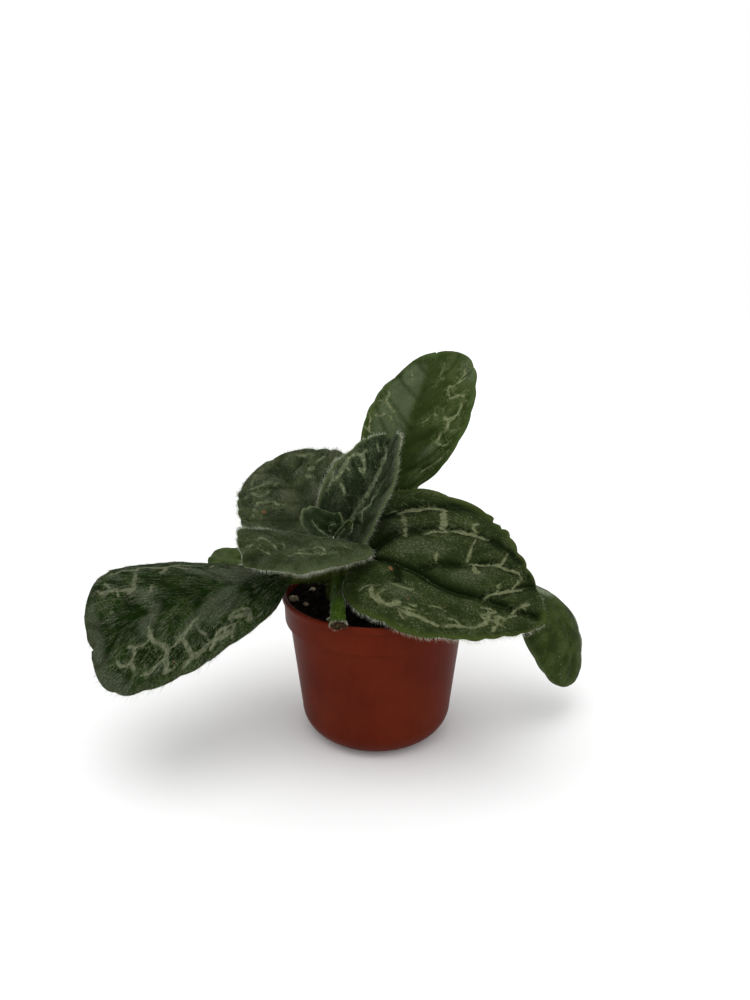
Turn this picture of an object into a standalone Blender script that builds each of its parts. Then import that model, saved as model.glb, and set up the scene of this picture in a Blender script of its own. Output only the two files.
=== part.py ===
# Potted primulina: a rosette of broad velvety leaves on a short stalk, in a small round nursery pot.
# Lengths below are in millimetres; the front of the plant faces -Y and the pot stands on z = 0.

import bmesh
import bpy
import numpy as np
from math import cos, log, pi, radians, sin
from mathutils import Vector
from mathutils.geometry import interpolate_bezier

MM = 0.001
GAP = 0.3
SLIVER = 0.005

# Pot
POT_SIDES = 32
POT_HEIGHT = 47.5
RIM_RADIUS = 30.0
LIP_HEIGHT = 1.6
LIP_WIDTH = 1.5
BAND_RADIUS = 29.3
BAND_HEIGHT = 9.0
BODY_TOP_RADIUS = 27.7
BODY_FOOT_RADIUS = 24.4
CORNER_RADIUS = 8.5
WALL = 1.0
DRAIN_HOLES = 6
DRAIN_HOLE_RADIUS = 2.2
DRAIN_RING_RADIUS = 10.5

# Soil
SOIL_LEVEL = 44.0
CRUMB_HEIGHT = 0.7

# Stalk
STALK_X = -12.0
STALK_Y = 1.0
STALK_FOOT = 33.0
STALK_TOP = 59.0
STALK_RADIUS = 4.0
STALK_SIDES = 16

BLADE_THICKNESS = 0.8

# Each leaf follows a path from the stalk to its tip. The blade starts at path point `blade_from`.
# Pairs are for the left and the right side of the blade, as seen from the stalk. `foot` is the share of
# the width at the blade's foot, `lobe` reaches back from there, and `tip_lead` carries the far corners
# forward. `face` goes from the blade's foot to its tip; round_off, fold (degrees) and curl (degrees)
# are (left, right) at the foot and at the tip.
LEAVES = {
    "leaf_big_left": dict(
        path=[(-14, 0.5, 53.3), (-25, -4, 54), (-42, -11, 54), (-56, -16, 52), (-72, -23, 46.5),
              (-83.6, -24, 38.6)],
        blade_from=1, stalk=2.3, width=(24.1, 26.6), widest=(0.56, 0.34),
        round_off=[(0.33, 0.62), (0.41, 0.19)], foot=(0.02, 0.02), lobe=(-3.8, -7.2), tip_lead=(9, -7),
        face=[(0, -0.2, 1), (-0.3, -0.5, 0.7)], fold=[(-15, -5), (5, 17)], curl=[(-20, -38), (-30, -15)],
        veins=5, quilt=0.9, teeth=7, tooth=0.02, wave=0.4, waves=2, grid=(32, 10)),
    "leaf_big_right": dict(
        path=[(-10.5, -0.5, 54.5), (-0.5, -7.5, 60.5), (10, -13.5, 59.5), (20, -20, 56),
              (30, -25.5, 55), (47.5, -31, 51)],
        blade_from=1, stalk=2.1, width=(33.6, 21.2), widest=(0.22, 0.19),
        round_off=[(0.31, 0.7), (0.67, 0.63)], foot=(0.45, 0.35), lobe=(15, 6.7), tip_lead=(-7.5, -5),
        face=[(0.1, -0.33, 0.9), (0.34, -0.5, 0.85)], fold=[(22, 0), (11, 0)],
        curl=[(-16, -23), (-10, -11)],
        veins=5, quilt=1.1, teeth=9, tooth=0.025, wave=0.4, waves=4, grid=(36, 12)),
    "leaf_upper_right": dict(
        path=[(-11, 1.5, 52.5), (1, 20.4, 63.4), (6.6, 25.4, 77.1), (13, 30.5, 97.4), (21.1, 44.3, 118.2)],
        blade_from=1, stalk=2, width=(18.5, 21), widest=(0.63, 0.55),
        round_off=[(0.12, 0.49), (0.33, 0.41)], foot=(0.2, 0.1), lobe=(2.3, -10.3), tip_lead=(-5.7, 5.5),
        face=[(-0.25, -0.74, 0.28), (-0.4, -0.6, 0.4)], fold=[(14, 18), (-8, 11)],
        curl=[(-11, -5), (-8, -10)],
        veins=6, quilt=0.7, teeth=7, tooth=0.02, wave=0.4, waves=3, grid=(28, 10)),
    "leaf_young_upright": dict(
        path=[(-11, 3, 57), (-10.2, 4.5, 63.5), (0.5, 7, 82.5), (5, 14.1, 94.6)],
        blade_from=1, stalk=1.6, width=(14.2, 14.3), widest=(0.35, 0.5),
        round_off=[(0.36, 0.12), (0.62, 0.53)], foot=(0, 0), lobe=(0, 6), tip_lead=(13, 1.1),
        face=[(-0.3, -0.73, 0.1), (-0.55, -0.7, 0.64)], fold=[(30, 38), (21, 41)], curl=[(-8, 6), (-13, 2)],
        veins=5, quilt=0.7, teeth=6, tooth=0.02, wave=0.4, waves=3, grid=(24, 8)),
    "leaf_back_left": dict(
        path=[(-13.5, 2.5, 55), (-17, 7, 61.5), (-25, 16, 71.3), (-35.4, 29.5, 83.4)],
        blade_from=1, stalk=1.8, width=(20.9, 24.2), widest=(0.28, 0.27),
        round_off=[(0.47, 0.7), (0.22, 0.43)], foot=(0, 0), lobe=(2.2, -2.1), tip_lead=(-7, -1.1),
        face=[(0, -0.8, 0.6), (0, -0.68, 0.7)], fold=[(7, 14), (-4, 6)], curl=[(11, 10), (5, -4)],
        veins=5, quilt=0.7, teeth=7, tooth=0.02, wave=0.4, waves=3, grid=(24, 10)),
    "leaf_young_front": dict(
        path=[(-13, -0.8, 58), (-10.6, -4.5, 65.3), (-11.9, -5.5, 65.7), (-20.9, -12.5, 68),
              (-30.8, -19.4, 66.5), (-37.7, -23.9, 64.5)],
        blade_from=2, stalk=1.4, width=(16.6, 19.2), widest=(0.33, 0.48),
        round_off=[(0.29, 0.51), (0.61, 0.96)], foot=(0.34, 0.07), lobe=(8, -4.4), tip_lead=(-4, 5),
        face=[(-0.1, -0.05, 0.96), (0, -0.16, 1)], fold=[(12, -13), (10.5, 30)], curl=[(-48, 6), (-29, -43)],
        veins=5, quilt=0.7, teeth=6, tooth=0.02, wave=0.3, waves=3, grid=(24, 8)),
    "leaf_young_centre": dict(
        path=[(-14.2, 1.4, 57), (-14.4, 0.3, 63.8), (-14.3, 0.9, 67.2), (-13.5, 2.7, 71.8)],
        blade_from=1, stalk=1.0, width=(11.2, 5.1), widest=(0.51, 0.62), round_off=[(0.68, 0.6), (0.42, 0.4)],
        foot=(0, 0.1), lobe=(0.4, 0), tip_lead=(4.8, 1.7),
        face=[(0.15, -0.9, 0.4), (0, -0.78, 0.63)], fold=[(22, 26), (28, 49)], curl=[(17, 12), (14, 23)],
        veins=3, quilt=0.3, teeth=4, tooth=0.04, wave=0.2, waves=2, grid=(12, 6)),
    "leaf_bud": dict(
        path=[(-11.6, 0.4, 58), (-12.7, -0.9, 63.3), (-10.5, -2.1, 67), (-7.8, -3.1, 70.8)],
        blade_from=1, stalk=0.7, width=(1.9, 2.1), widest=(0.5, 0.5), round_off=[(0.5, 0.5), (0.5, 0.5)],
        foot=(0, 0.05), lobe=(0.5, -0.3), tip_lead=(0, -1.4),
        face=[(0.3, -0.85, 0.3), (0.3, -0.85, 0.3)], fold=[(26, -2), (32, 34)], curl=[(22, 4), (22, 19)],
        veins=3, quilt=0.2, teeth=3, tooth=0.03, wave=0.1, waves=2, grid=(8, 4)),
    "leaf_low_left": dict(
        path=[(-14, 2.5, 49.5), (-28, 10, 51.2), (-42, 17, 50.7), (-57.3, 21.5, 51)],
        blade_from=1, stalk=1.3, width=(9, 9.5), widest=(0.55, 0.55), round_off=[(0.8, 0.8), (0.4, 0.4)],
        foot=(0, 0), lobe=(0, 0), tip_lead=(0, 0),
        face=[(0, 0, 1), (0, -0.2, 1)], fold=[(4, 2), (2, 6)], curl=[(-20, -24), (-25, -28)],
        veins=4, quilt=0.4, teeth=5, tooth=0.02, wave=0.3, waves=3, grid=(16, 6)),
    "leaf_low_right": dict(
        path=[(-10, 1.5, 49.5), (15, 5, 50.5), (30, 7, 51), (41, 8, 49), (59.5, 7, 39),
              (64.5, 1.5, 26), (65, 0, 12.5)],
        blade_from=3, stalk=1.7, width=(17, 18), widest=(0.58, 0.37),
        round_off=[(0.82, 0.55), (0.65, 0.51)], foot=(0, 0), lobe=(-5, 15), tip_lead=(-0.7, 6),
        face=[(0.14, -0.06, 0.95), (0.65, -0.62, 0.1)], fold=[(-8, -5), (4, -4)],
        curl=[(-42, -32), (-49, -33)],
        veins=5, quilt=0.4, teeth=6, tooth=0.02, wave=0.4, waves=2, grid=(22, 8)),
}
CUT_STALK_PATH = [(-12, -1, 49.8), (-11.6, -14, 50.6), (-10.7, -31.5, 50.4)]
CUT_STALK_RADIUS = 2.4


# Scene and finishes

def emptyScene():
    for thing in list(bpy.data.objects):
        bpy.data.objects.remove(thing, do_unlink=True)


def newCollection(name):
    group = bpy.data.collections.new(name)
    bpy.context.scene.collection.children.link(group)
    return group


def finish(name, colour, roughness):
    material = bpy.data.materials.new(name)
    material.use_nodes = True
    shader = material.node_tree.nodes["Principled BSDF"]
    shader.inputs["Base Color"].default_value = (*colour, 1)
    shader.inputs["Roughness"].default_value = roughness
    shader.inputs["Metallic"].default_value = 0
    return material


# Working with objects

def addObject(name, mesh, group, material=None):
    thing = bpy.data.objects.new(name, mesh)
    group.objects.link(thing)
    if material:
        mesh.materials.append(material)
    return thing


def applyModifiers(thing):
    graph = bpy.context.evaluated_depsgraph_get()
    shaped = bpy.data.meshes.new_from_object(thing.evaluated_get(graph))
    thing.modifiers.clear()
    thing.data = shaped


def join(thing, other, operation, solver="EXACT"):
    step = thing.modifiers.new(operation.lower(), "BOOLEAN")
    step.operation = operation
    step.object = other
    step.solver = solver
    applyModifiers(thing)


def turned(name, profile, sides, group, material=None):
    """A profile of (radius, height) points, outer side from top to bottom, turned about Z."""
    mesh = bpy.data.meshes.new(name)
    form = bmesh.new()
    corners = [form.verts.new((r * MM, 0, z * MM)) for r, z in profile]
    for start, end in zip(corners, corners[1:]):
        form.edges.new((start, end))
    form.to_mesh(mesh)
    form.free()
    thing = addObject(name, mesh, group, material)
    turn = thing.modifiers.new("turn", "SCREW")
    turn.steps = sides
    turn.render_steps = sides
    turn.use_merge_vertices = True
    turn.merge_threshold = 0.00001
    applyModifiers(thing)
    return thing


def tube(name, points, radii, group, material=None):
    """A round bar along the points with a radius at each, as a closed mesh."""
    line = bpy.data.curves.new(name, "CURVE")
    line.dimensions = "3D"
    line.bevel_depth = MM
    line.bevel_resolution = 1
    line.use_fill_caps = True
    spline = line.splines.new("POLY")
    spline.points.add(len(points) - 1)
    for knot, point, radius in zip(spline.points, points, radii):
        knot.co = (*(MM * Vector(point)), 1)
        knot.radius = radius
    draft = addObject(name + "_line", line, group)
    graph = bpy.context.evaluated_depsgraph_get()
    mesh = bpy.data.meshes.new_from_object(draft.evaluated_get(graph))
    bpy.data.objects.remove(draft)
    form = bmesh.new()
    form.from_mesh(mesh)
    bmesh.ops.remove_doubles(form, verts=form.verts, dist=0.01 * MM)
    form.to_mesh(mesh)
    form.free()
    return addObject(name, mesh, group, material)


def closeSlivers(thing):
    form = bmesh.new()
    form.from_mesh(thing.data)
    bmesh.ops.triangulate(form, faces=form.faces)
    bmesh.ops.dissolve_degenerate(form, edges=form.edges, dist=SLIVER * MM)
    bmesh.ops.triangulate(form, faces=form.faces)
    form.to_mesh(thing.data)
    form.free()


# Leaf form, worked out for whole rows of points at once

def smoothLine(points, steps=24):
    """Points close together on a smooth line through the given ones."""
    points = [Vector(point) for point in points]
    padded = [points[0], *points, points[-1]]
    leans = []
    for before, here, after in zip(padded, padded[1:], padded[2:]):
        leans.append(((here - before).normalized() + (after - here).normalized()).normalized())
    line = []
    for here, after, lean, nextLean in zip(points, points[1:], leans, leans[1:]):
        reach = (after - here).length / 3
        line += interpolate_bezier(here, here + lean * reach, after - nextLean * reach, after, steps)[:-1]
    return np.array([*line, points[-1]])


def lengthsAlong(line):
    return np.concatenate([[0], np.cumsum(np.linalg.norm(np.diff(line, axis=0), axis=1))])


def ease(x):
    x = np.clip(x, 0, 1)
    return x * x * (3 - 2 * x)


def unit(vectors):
    return vectors / np.linalg.norm(vectors, axis=-1, keepdims=True)


def onLine(line, lengths, distance):
    """Place and direction at a distance along the line, straight on beyond its ends."""
    directions = unit(np.gradient(line, lengths, axis=0))
    place = np.stack([np.interp(distance, lengths, line[:, i]) for i in range(3)], axis=-1)
    lean = unit(np.stack([np.interp(distance, lengths, directions[:, i]) for i in range(3)], axis=-1))
    beyond = distance - np.clip(distance, 0, lengths[-1])
    return place + beyond[..., None] * lean, lean


def leafPoints(leaf, u, v):
    """Points of the blade's upper face: u from foot (0) to tip (1), v from left (-1) to right (1)."""
    line = smoothLine(leaf["path"])[24 * leaf["blade_from"]:]
    lengths = lengthsAlong(line)
    reach = lengths[-1]
    right = v > 0
    out = np.abs(v)
    pair = lambda values: np.where(right, values[1], values[0])
    along = lambda values: pair(values[0]) * (1 - ease(u)) + pair(values[1]) * ease(u)

    # outline
    fullness = along(leaf["round_off"])
    swell = np.sin(pi * np.clip(u, 0, 1) ** (log(0.5) / np.log(pair(leaf["widest"]))))
    half = pair(leaf["width"])
    teeth = leaf["tooth"] * (np.abs(np.sin(pi * leaf["teeth"] * u + 0.9 * right)) ** 0.7 - 0.5)
    least = 0.03 + pair(leaf["foot"]) * (1 - ease(4 * u))
    across = out * half * np.maximum(np.maximum(swell, 1e-4) ** fullness, least)
    across *= 1 + teeth * out ** 5 * ease(6 * u) * ease(6 - 6 * u)
    forward = reach * (u + 0.12 * out ** 1.4 * np.sin(pi * np.clip(u, 0, 1)) * (1 - 0.35 * u))
    forward += pair(leaf["tip_lead"]) * u ** 4 * (across / half) ** 2
    forward -= pair(leaf["lobe"]) * (1 - u) ** 4 * out ** 2

    # bend of each side, as an arc that starts at the fold's angle
    place, ahead = onLine(line, lengths, forward)
    t = ease(u)[..., None]
    facing = np.array(leaf["face"][0]) * (1 - t) + np.array(leaf["face"][1]) * t
    up = unit(facing - np.sum(facing * ahead, axis=-1, keepdims=True) * ahead)
    side = np.cross(ahead, up) * np.where(right, 1, -1)[..., None]
    start = np.radians(along(leaf["fold"]))
    bend = np.radians(along(leaf["curl"])) / half
    angle = start + bend * across
    outward = (np.sin(angle) - np.sin(start)) / bend
    rise = (np.cos(start) - np.cos(angle)) / bend

    # relief: pillows between the side veins, a groove on the midrib, a waved edge
    pillow = np.abs(np.sin(pi * leaf["veins"] * u + 0.8 * right)) ** 0.6 - 0.5
    relief = leaf["quilt"] * pillow * np.sin(pi * out ** 0.8) ** 0.6
    relief -= 0.5 * np.exp(-(across / 1.3) ** 2)
    wave = leaf["wave"] * np.sin(2 * pi * leaf["waves"] * u + 1.7 * right)
    relief += wave * out ** 3 * ease(4 * u) * ease(4 - 4 * u)
    outward -= np.sin(angle) * relief
    rise += np.cos(angle) * relief
    return place + outward[..., None] * side + rise[..., None] * up


def stalkLine(leaf, knots):
    """Centre points and radii of the leaf's stalk, which runs on under the blade as its midrib."""
    line = smoothLine(leaf["path"])
    lengths = lengthsAlong(line)
    foot = lengths[24 * leaf["blade_from"]]
    stops = np.linspace(0, foot + 0.9 * (lengths[-1] - foot), knots)
    places, ahead = onLine(line, lengths, stops)
    t = ease((stops - foot) / (lengths[-1] - foot))
    tapering = np.clip((stops - 0.6 * foot) / (lengths[-1] - 0.6 * foot), 0, 1)
    radii = leaf["stalk"] * (1 - 0.8 * tapering ** 0.6)
    facing = np.outer(1 - t, leaf["face"][0]) + np.outer(t, leaf["face"][1])
    up = unit(facing - np.sum(facing * ahead, axis=-1, keepdims=True) * ahead)
    return places - up * (0.5 + 0.5 * radii)[:, None], radii


def makeLeaf(name, leaf, stalkRoom, group, material):
    uSteps, vSteps = leaf["grid"]
    form = bmesh.new()
    bmesh.ops.create_grid(form, x_segments=uSteps, y_segments=vSteps, size=0.5)
    flat = np.array([vertex.co for vertex in form.verts])
    rows = flat[:, 0] + 0.5
    closerAtEnds = 0.4 * rows + 0.3 * (1 - np.cos(pi * rows))
    shaped = leafPoints(leaf, closerAtEnds, -2 * flat[:, 1])
    for vertex, point in zip(form.verts, shaped):
        vertex.co = MM * Vector(point)
    bmesh.ops.triangulate(form, faces=form.faces)
    mesh = bpy.data.meshes.new(name)
    form.to_mesh(mesh)
    form.free()
    blade = addObject(name, mesh, group, material)
    thicken = blade.modifiers.new("thickness", "SOLIDIFY")
    thicken.thickness = BLADE_THICKNESS * MM
    thicken.offset = -1
    applyModifiers(blade)
    points, radii = stalkLine(leaf, 10)
    stalk = tube(name + "_stalk", points, radii, group)
    join(blade, stalk, "UNION", "MANIFOLD")
    join(blade, stalkRoom, "DIFFERENCE", "MANIFOLD")
    closeSlivers(blade)
    bpy.data.objects.remove(stalk)
    return blade


# Pot and soil

def innerWall():
    """Inside of the pot from the middle of its floor up to the rim."""
    corner = [(BODY_FOOT_RADIUS - CORNER_RADIUS + (CORNER_RADIUS - WALL) * sin(a),
               CORNER_RADIUS - (CORNER_RADIUS - WALL) * cos(a))
              for a in np.radians([0, 30, 60, 90])]
    shoulder = POT_HEIGHT - BAND_HEIGHT
    return [(0, WALL), *corner,
            (BODY_TOP_RADIUS - WALL, shoulder - WALL),
            (BAND_RADIUS - WALL, shoulder + WALL),
            (RIM_RADIUS - LIP_WIDTH, POT_HEIGHT - LIP_HEIGHT)]


def makePot(group, cutters, material):
    shoulder = POT_HEIGHT - BAND_HEIGHT
    corner = [(BODY_FOOT_RADIUS - CORNER_RADIUS * (1 - sin(a)), CORNER_RADIUS * (1 - cos(a)))
              for a in np.radians([90, 60, 30, 0])]
    lip = [(RIM_RADIUS - LIP_WIDTH, POT_HEIGHT - 0.4), (RIM_RADIUS - LIP_WIDTH + 0.4, POT_HEIGHT),
           (RIM_RADIUS - 0.5, POT_HEIGHT), (RIM_RADIUS, POT_HEIGHT - 0.5),
           (RIM_RADIUS, POT_HEIGHT - LIP_HEIGHT), (BAND_RADIUS + 0.1, POT_HEIGHT - LIP_HEIGHT - 0.5)]
    band = [(BAND_RADIUS - 0.1, shoulder + 0.4), (BAND_RADIUS - 0.5, shoulder),
            (BODY_TOP_RADIUS, shoulder - 0.4)]
    pot = turned("pot", [*innerWall(), *lip, *band, *corner, (0, 0)], POT_SIDES, group, material)
    for i in range(DRAIN_HOLES):
        angle = 2 * pi * i / DRAIN_HOLES
        bpy.ops.mesh.primitive_cylinder_add(
            vertices=12, radius=DRAIN_HOLE_RADIUS * MM, depth=4 * WALL * MM,
            location=(DRAIN_RING_RADIUS * MM * cos(angle), DRAIN_RING_RADIUS * MM * sin(angle), 0))
        drill = bpy.context.object
        moveTo(drill, cutters)
        join(pot, drill, "DIFFERENCE")
    return pot


def moveTo(thing, group):
    for old in list(thing.users_collection):
        old.objects.unlink(thing)
    group.objects.link(thing)
    thing.hide_render = True
    thing.display_type = "WIRE"


def crumbs(x, y):
    """Uneven top of loose soil."""
    heaps = sin(0.55 * x + 1.3 * sin(0.31 * y)) * cos(0.47 * y - 0.8 * sin(0.23 * x))
    return heaps + 0.5 * sin(1.1 * x - 0.9 * y)


def makeSoil(group, cutters, material):
    wall = [(r - GAP, max(z, WALL + GAP)) for r, z in innerWall()[1:-1]]
    rimSide = wall[-1][0] + 0.1
    rings = [(r, SOIL_LEVEL) for r in np.linspace(0, rimSide, 6)]
    profile = [*rings, *reversed(wall), (0, WALL + GAP)]
    soil = turned("soil", profile, POT_SIDES, group, material)
    for vertex in soil.data.vertices:
        x, y, z = vertex.co / MM
        if z > SOIL_LEVEL - 0.1:
            edge = ease(np.hypot(x, y) / rimSide * 4 - 3)
            vertex.co.z += MM * CRUMB_HEIGHT * crumbs(x, y) * (1 - edge)
    bpy.ops.mesh.primitive_cylinder_add(
        vertices=STALK_SIDES, radius=(STALK_RADIUS + 0.2 + GAP) * MM, depth=40 * MM,
        location=(STALK_X * MM, STALK_Y * MM, (STALK_FOOT - GAP + 20) * MM))
    hole = bpy.context.object
    moveTo(hole, cutters)
    join(soil, hole, "DIFFERENCE")
    return soil


# Stalk

def makeStalk(name, room, group, material=None):
    """The short main stalk with its leaf scars, grown on all sides by the room given."""
    profile = [(0, STALK_TOP + room), (1.8, STALK_TOP - 0.3 + room), (2.9, STALK_TOP - 1.6 + 0.5 * room)]
    for level in (55, 52, 49, 46):
        thick = STALK_RADIUS - 0.06 * (level - 46)
        profile += [(thick - 0.3, level + 1.2), (thick + 0.15, level)]
    profile = [(r + room if r else 0, z) for r, z in profile]
    profile += [(STALK_RADIUS - 0.5 + room, STALK_FOOT - room), (0, STALK_FOOT - room)]
    stalk = turned(name, profile, STALK_SIDES, group, material)
    stalk.location = (STALK_X * MM, STALK_Y * MM, 0)
    return stalk


def makeCutStalk(stalkRoom, group, material):
    line = smoothLine(CUT_STALK_PATH, 4)
    along = np.linspace(0, 1, len(line))
    radii = CUT_STALK_RADIUS * (1 - 0.12 * np.sin(pi * along))
    stub = tube("cut_leaf_stalk", line, radii, group, material)
    join(stub, stalkRoom, "DIFFERENCE")
    return stub


def main():
    emptyScene()
    plant = newCollection("potted_primulina")
    cutters = newCollection("cutters")
    potPlastic = finish("pot_plastic", (0.1, 0.018, 0.01), 0.42)
    soilMix = finish("soil_mix", (0.012, 0.009, 0.007), 0.95)
    leafGreen = finish("leaf_green", (0.045, 0.065, 0.018), 0.75)
    youngGreen = finish("young_leaf_green", (0.07, 0.085, 0.03), 0.8)
    stalkGreen = finish("stalk_green", (0.16, 0.15, 0.04), 0.6)

    makePot(plant, cutters, potPlastic)
    makeSoil(plant, cutters, soilMix)
    makeStalk("stalk", 0, plant, stalkGreen)
    stalkRoom = makeStalk("stalk_room", GAP, cutters)
    moveTo(stalkRoom, cutters)
    bpy.context.view_layer.update()
    makeCutStalk(stalkRoom, plant, stalkGreen)
    for name, leaf in LEAVES.items():
        young = name in ("leaf_young_upright", "leaf_young_front", "leaf_young_centre", "leaf_bud")
        makeLeaf(name, leaf, stalkRoom, plant, youngGreen if young else leafGreen)


main()
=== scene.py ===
from math import cos, log, pi, radians, sin

import bmesh
import bpy
import numpy as np
from mathutils import Matrix, Vector, noise
from mathutils.geometry import interpolate_bezier


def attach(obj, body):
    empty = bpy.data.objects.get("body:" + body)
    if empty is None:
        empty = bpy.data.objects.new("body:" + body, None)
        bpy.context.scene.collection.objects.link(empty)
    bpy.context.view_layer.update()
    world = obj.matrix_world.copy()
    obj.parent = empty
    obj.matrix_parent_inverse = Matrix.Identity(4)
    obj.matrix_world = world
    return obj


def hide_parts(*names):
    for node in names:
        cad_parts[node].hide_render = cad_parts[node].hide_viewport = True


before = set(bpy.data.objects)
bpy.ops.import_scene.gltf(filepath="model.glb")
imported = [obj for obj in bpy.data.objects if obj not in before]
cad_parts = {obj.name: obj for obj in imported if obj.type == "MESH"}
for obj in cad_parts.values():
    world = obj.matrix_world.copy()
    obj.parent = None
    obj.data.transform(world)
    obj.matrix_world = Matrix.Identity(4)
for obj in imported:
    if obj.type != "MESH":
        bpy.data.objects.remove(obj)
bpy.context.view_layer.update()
mm = 0.001
noise.seed_set(5)  # or else noise_vector differs from run to run
print("frame loaded", sorted(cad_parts))


# Shader maths as plain sums

class Wire:
    def __init__(self, finish, socket):
        self.finish = finish
        self.socket = socket

    def maths(self, operation, *values):
        return self.finish.node("ShaderNodeMath", {"operation": operation}, dict(enumerate(values)))

    def __add__(self, other):
        return self.maths("ADD", self, other)

    def __radd__(self, other):
        return self.maths("ADD", other, self)

    def __sub__(self, other):
        return self.maths("SUBTRACT", self, other)

    def __rsub__(self, other):
        return self.maths("SUBTRACT", other, self)

    def __mul__(self, other):
        return self.maths("MULTIPLY", self, other)

    def __rmul__(self, other):
        return self.maths("MULTIPLY", other, self)

    def most(self, other):
        return self.maths("MAXIMUM", self, other)

    def ramp(self, low, high, out=(0, 1)):
        inputs = {0: self, 1: low, 2: high, 3: out[0], 4: out[1]}
        return self.finish.node("ShaderNodeMapRange", {"interpolation_type": "SMOOTHSTEP"}, inputs)


class Finish:
    def __init__(self, name):
        self.material = bpy.data.materials.new(name)
        self.material.use_nodes = True
        self.tree = self.material.node_tree
        self.shader = self.tree.nodes["Principled BSDF"]

    def feed(self, socket, value):
        if isinstance(value, Wire):
            self.tree.links.new(value.socket, socket)
        else:
            socket.default_value = value

    def node(self, kind, settings=None, inputs=None, output=0):
        made = self.tree.nodes.new(kind)
        for key, value in (settings or {}).items():
            setattr(made, key, value)
        for key, value in (inputs or {}).items():
            self.feed(made.inputs[key], value)
        return Wire(self, made.outputs[output])

    def inMillimetres(self, spot, stretch):
        return self.node("ShaderNodeMapping", inputs={"Vector": spot, "Scale": [1000 * s for s in stretch]})

    def place(self, stretch=(1, 1, 1)):
        return self.inMillimetres(self.node("ShaderNodeTexCoord", output="Object"), stretch)

    def onBlade(self):
        return self.inMillimetres(self.node("ShaderNodeUVMap", {"uv_map": "blade"}), (1, 1, 1))

    def attribute(self, name):
        return self.node("ShaderNodeAttribute", {"attribute_name": name}, output="Fac")

    def cloud(self, spot, scale, detail=4, rough=0.55):
        inputs = {"Vector": spot, "Scale": scale, "Detail": detail, "Roughness": rough}
        return self.node("ShaderNodeTexNoise", inputs=inputs)

    def cells(self, spot, scale, feature="F1"):
        return self.node("ShaderNodeTexVoronoi", {"feature": feature}, {"Vector": spot, "Scale": scale})

    def mix(self, factor, first, second):
        return self.node("ShaderNodeMix", {"data_type": "RGBA"}, {0: factor, 6: first, 7: second}, 2)

    def surface(self, colour, roughness, gloss, relief=None):
        values = {"Base Color": colour, "Roughness": roughness, "Specular IOR Level": gloss}
        if relief:
            height, depth, strength = relief
            inputs = {"Height": height, "Distance": depth * mm, "Strength": strength}
            values["Normal"] = self.node("ShaderNodeBump", inputs=inputs)
        for key, value in values.items():
            self.feed(self.shader.inputs[key], value)
        return self.material


daylight = 1.2  # how brightly the stage lights a surface that faces up


def paint(red, green, blue):
    def linear(level):
        level /= 255
        return level / 12.92 if level < 0.04045 else ((level + 0.055) / 1.055) ** 2.4
    return (linear(red) / daylight, linear(green) / daylight, linear(blue) / daylight, 1)


# Pieces

def link(thing):
    bpy.context.scene.collection.objects.link(thing)
    return thing


def addPiece(name, mesh, finishes, replaced=()):
    piece = link(bpy.data.objects.new(name, mesh))
    for material in finishes:
        mesh.materials.append(material)
    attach(piece, "root")
    if replaced:
        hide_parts(*replaced)
    return piece


def meshFrom(form, name, smooth=True):
    for face in form.faces:
        face.smooth = smooth
    mesh = bpy.data.meshes.new(name)
    form.to_mesh(mesh)
    form.free()
    return mesh


def finalMesh(thing):
    graph = bpy.context.evaluated_depsgraph_get()
    return bpy.data.meshes.new_from_object(thing.evaluated_get(graph))


def settle(piece):
    shaped = finalMesh(piece)
    piece.modifiers.clear()
    piece.data = shaped


def spun(profile, steps):  # a profile of radius and height turned round the z axis
    form = bmesh.new()
    rings = []
    for i in range(steps):
        across, along = mm * cos(2 * pi * i / steps), mm * sin(2 * pi * i / steps)
        rings.append([form.verts.new((r * across, r * along, z * mm)) for r, z in profile])
    for ring, after in zip(rings, rings[1:] + rings[:1]):
        for corners in zip(ring, after, after[1:], ring[1:]):
            form.faces.new(corners)
    bmesh.ops.remove_doubles(form, verts=form.verts, dist=0.01 * mm)
    bmesh.ops.recalc_face_normals(form, faces=form.faces)
    return form


# Leaf form. u runs from the blade's foot, 0, to its tip, 1, and v from its left edge, -1, to its right, 1.

lineSteps = 24  # between two points of a leaf's path


def smoothLine(points, steps=lineSteps):
    points = [Vector(point) for point in points]
    padded = [points[0], *points, points[-1]]
    leans = []
    for before, here, after in zip(padded, padded[1:], padded[2:]):
        leans.append(((here - before).normalized() + (after - here).normalized()).normalized())
    line = []
    for here, after, lean, nextLean in zip(points, points[1:], leans, leans[1:]):
        reach = (after - here).length / 3
        line += interpolate_bezier(here, here + lean * reach, after - nextLean * reach, after, steps)[:-1]
    return np.array([*line, points[-1]])


def lengthsAlong(line):
    return np.concatenate([[0], np.cumsum(np.linalg.norm(np.diff(line, axis=0), axis=1))])


def ease(x):
    x = np.clip(x, 0, 1)
    return x * x * (3 - 2 * x)


def unit(vectors):
    return vectors / np.maximum(np.linalg.norm(vectors, axis=-1, keepdims=True), 1e-9)


def squared(vectors, ahead):  # the same vectors, turned square to the way ahead
    return unit(vectors - np.sum(vectors * ahead, axis=-1, keepdims=True) * ahead)


def sided(v, values):  # one value for the left half, one for the right
    return np.where(v > 0, values[1], values[0])


def graded(u, v, values):  # from those at the foot to those at the tip
    return sided(v, values[0]) * (1 - ease(u)) + sided(v, values[1]) * ease(u)


def onLine(line, lengths, distance):
    directions = unit(np.gradient(line, lengths, axis=0))
    place = np.stack([np.interp(distance, lengths, line[:, i]) for i in range(3)], axis=-1)
    lean = unit(np.stack([np.interp(distance, lengths, directions[:, i]) for i in range(3)], axis=-1))
    beyond = distance - np.clip(distance, 0, lengths[-1])
    return place + beyond[..., None] * lean, lean


def bladeLine(leaf):
    line = smoothLine(leaf["path"])[lineSteps * leaf["bladeFrom"]:]
    return line, lengthsAlong(line)


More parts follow.
